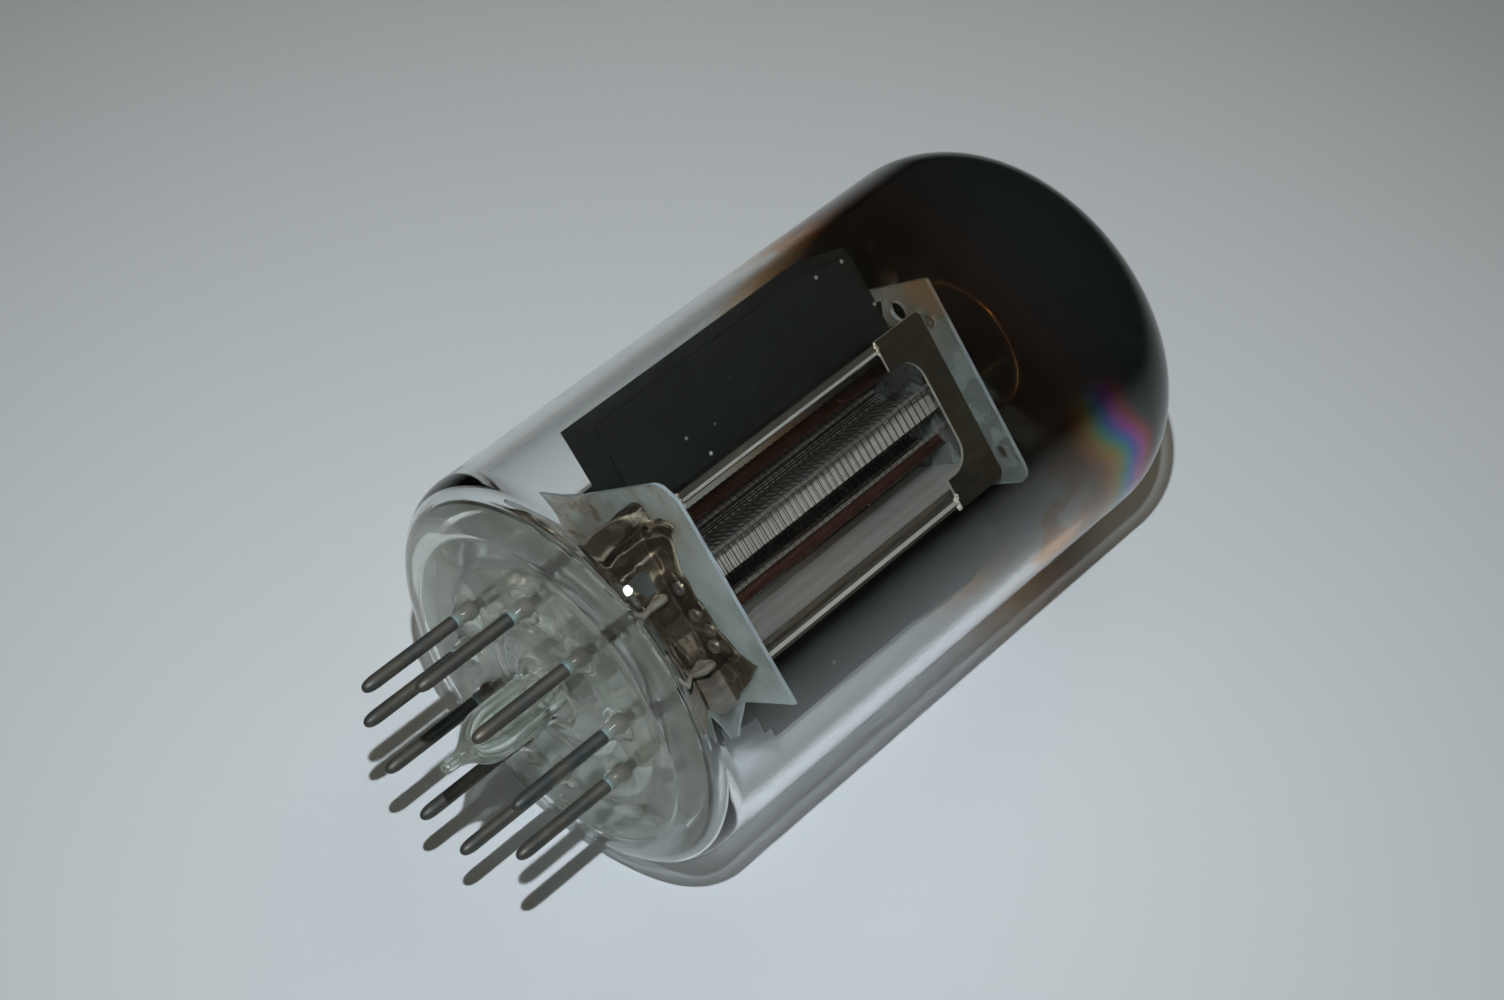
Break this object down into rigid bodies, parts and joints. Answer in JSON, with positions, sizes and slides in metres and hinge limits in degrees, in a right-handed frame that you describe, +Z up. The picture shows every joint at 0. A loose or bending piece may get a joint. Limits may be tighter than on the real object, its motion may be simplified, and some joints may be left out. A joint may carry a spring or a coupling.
{
  "type": "power vacuum tube",
  "caption": "Large glass power vacuum tube on pins in a moulded glass base, with a dark getter mirror in its dome and the wound grids visible through a window in its finned anode",
  "frame": {"origin": "on the tube's axis, in the plane of the pin tips on which it stands", "axes": "+Z up along the tube's axis from the pins to the dome, -Y towards the open window of the cage, +X to the right seen from the window side"},
  "size_m": [0.039, 0.039, 0.079],
  "materials": {
    "clear_glass": "polished blown glass",
    "button_glass": "moulded greenish grey glass, slightly hazy, with small bubbles",
    "tip_glass": "flame-drawn glass",
    "getter_mirror": "evaporated metal mirror, brown and rainbow coloured at its edge",
    "pin_metal": "oxidised nickel-iron",
    "mica": "satin pale grey mica sheet",
    "anode_nickel": "bright rolled nickel",
    "blackened_fin": "matt carbonised nickel",
    "dark_nickel": "tarnished nickel with bright cut edges",
    "bright_nickel": "bright drawn nickel",
    "grid_wire": "fine drawn wire",
    "copper": "drawn copper",
    "cathode_coating": "white sprayed oxide",
    "heater_coating": "white alumina",
    "brown_nickel": "heat-tinted nickel",
    "lead_nickel": "drawn nickel",
    "getter_steel": "gold-tinted steel"
  },
  "bodies": {
    "root": {"glass_bulb": "clear_glass", "button_stem": "button_glass", "exhaust_tip": "tip_glass", "getter_film": "getter_mirror", "pin_1": "pin_metal", "pin_2": "pin_metal", "pin_3": "pin_metal", "pin_4": "pin_metal", "pin_5": "pin_metal", "pin_6": "pin_metal", "pin_7": "pin_metal", "pin_8": "pin_metal", "pin_9": "pin_metal", "bottom_mica": "mica", "top_mica": "mica", "anode_left": "anode_nickel", "anode_right": "anode_nickel", "left_fin_front": "blackened_fin", "left_fin_rear": "blackened_fin", "right_fin_front": "blackened_fin", "right_fin_rear": "blackened_fin", "top_frame_front": "dark_nickel", "top_frame_rear": "dark_nickel", "bottom_frame_front": "dark_nickel", "bottom_frame_rear": "dark_nickel", "control_grid_bars": "bright_nickel", "control_grid_winding": "grid_wire", "screen_grid_rods": "bright_nickel", "screen_grid_winding": "grid_wire", "copper_rods": "copper", "beam_plate": "dark_nickel", "cathode_sleeve": "cathode_coating", "cathode_strap": "bright_nickel", "heater": "heater_coating", "shield_front": "brown_nickel", "shield_rear": "brown_nickel", "shield_eyelets": "bright_nickel", "top_eyelets": "bright_nickel", "lead_1": "lead_nickel", "lead_2": "lead_nickel", "lead_3": "lead_nickel", "lead_4": "lead_nickel", "lead_5": "lead_nickel", "lead_6": "lead_nickel", "lead_7": "lead_nickel", "lead_8": "lead_nickel", "lead_9": "lead_nickel", "getter_ring": "getter_steel", "getter_supports": "getter_steel"}
  },
  "joints": []
}
